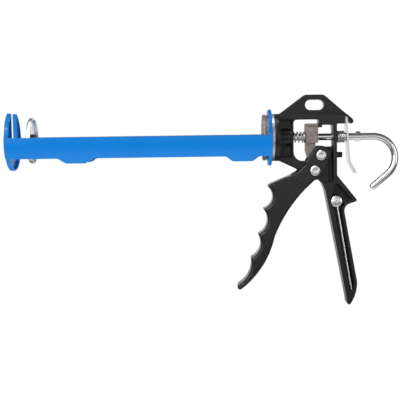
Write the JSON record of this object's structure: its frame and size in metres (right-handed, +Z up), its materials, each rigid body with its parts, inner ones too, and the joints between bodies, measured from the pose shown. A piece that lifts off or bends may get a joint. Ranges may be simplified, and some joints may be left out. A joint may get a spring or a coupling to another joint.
{
  "type": "caulking gun",
  "caption": "Swivelling caulking gun for rigid cartridges: open cradle with a slotted front cap, stepping rod drive, trigger, handle and release lever.",
  "frame": {"origin": "centre of the hanging hole in the body's roof, which the tool is stored on", "axes": "+Z up with the handle below, -X along the rod's axis towards the front cap, Y across the tool"},
  "size_m": [0.3413, 0.0552, 0.1847],
  "materials": {
    "body_black": "satin black powder coat over a die casting",
    "trigger_black": "satin black powder coat over a die casting",
    "cradle_blue": "glossy blue enamel on sheet steel",
    "rod_chrome": "bright plated rod",
    "lever_steel": "bright plated strip",
    "bright_zinc": "bright zinc plate",
    "pale_zinc": "pale zinc plate",
    "dark_zinc": "dark oiled steel",
    "spring_steel": "zinc-plated spring wire",
    "sintered_steel": "rough brown-grey sintered steel"
  },
  "bodies": {
    "body": {"body_frame": "body_black", "swivel_washer": "pale_zinc", "retaining_ring": "sintered_steel", "trigger_pivot": "bright_zinc", "lever_stop": "body_black", "wire_rivet": "bright_zinc", "main_spring": "spring_steel", "brake_spring": "spring_steel"},
    "cradle": {"cradle_flange": "cradle_blue", "cradle_arm_near": "cradle_blue", "cradle_arm_far": "cradle_blue", "front_cap": "cradle_blue"},
    "trigger_fork": {"trigger": "trigger_black", "thrust_pin": "bright_zinc"},
    "roller": {"thrust_roller": "bright_zinc"},
    "block": {"drive_block": "sintered_steel"},
    "pusher": {"pusher_disc": "bright_zinc"},
    "rod": {"push_rod": "rod_chrome", "pusher_nut": "dark_zinc", "pusher_screw": "bright_zinc"},
    "lever": {"release_lever": "lever_steel"},
    "wire": {"puncture_wire": "bright_zinc"}
  },
  "joints": [
    {"name": "cradle_swivel", "type": "hinge", "parent": "body", "child": "cradle", "pos_m": [-0.041, 0, -0.028], "axis": [1, 0, 0], "continuous": true},
    {"name": "rod_slide", "type": "slide", "parent": "body", "child": "pusher", "axis": [1, 0, 0], "range_m": [-0.006, 0.198]},
    {"name": "rod_turn", "type": "hinge", "parent": "pusher", "child": "rod", "pos_m": [-0.2494, 0, -0.028], "axis": [1, 0, 0], "continuous": true},
    {"name": "trigger_squeeze", "type": "hinge", "parent": "body", "child": "trigger_fork", "pos_m": [-0.0006, 0, -0.0571], "axis": [0, -1, 0], "range_deg": [0, 28], "stiffness_Nm_per_rad": 0.4, "springref_deg": -20.05},
    {"name": "roller_spin", "type": "hinge", "parent": "trigger_fork", "child": "roller", "pos_m": [0.0047, 0, -0.0438], "axis": [0, 1, 0], "continuous": true},
    {"name": "block_step", "type": "slide", "parent": "body", "child": "block", "axis": [1, 0, 0], "range_m": [-0.0075, 0], "deforming": ["main_spring"]},
    {"name": "lever_press", "type": "hinge", "parent": "body", "child": "lever", "pos_m": [0.0273, 0, -0.0118], "axis": [0, 1, 0], "range_deg": [0, 7], "stiffness_Nm_per_rad": 0.1, "springref_deg": -11.46, "deforming": ["brake_spring"]},
    {"name": "wire_swing", "type": "hinge", "parent": "body", "child": "wire", "pos_m": [0.018, -0.0096, -0.0841], "axis": [0, -1, 0], "range_deg": [0, 165]}
  ],
  "couplings": [
    {"joint": "block_step", "follows": "trigger_squeeze", "m_per_rad": -0.014}
  ]
}
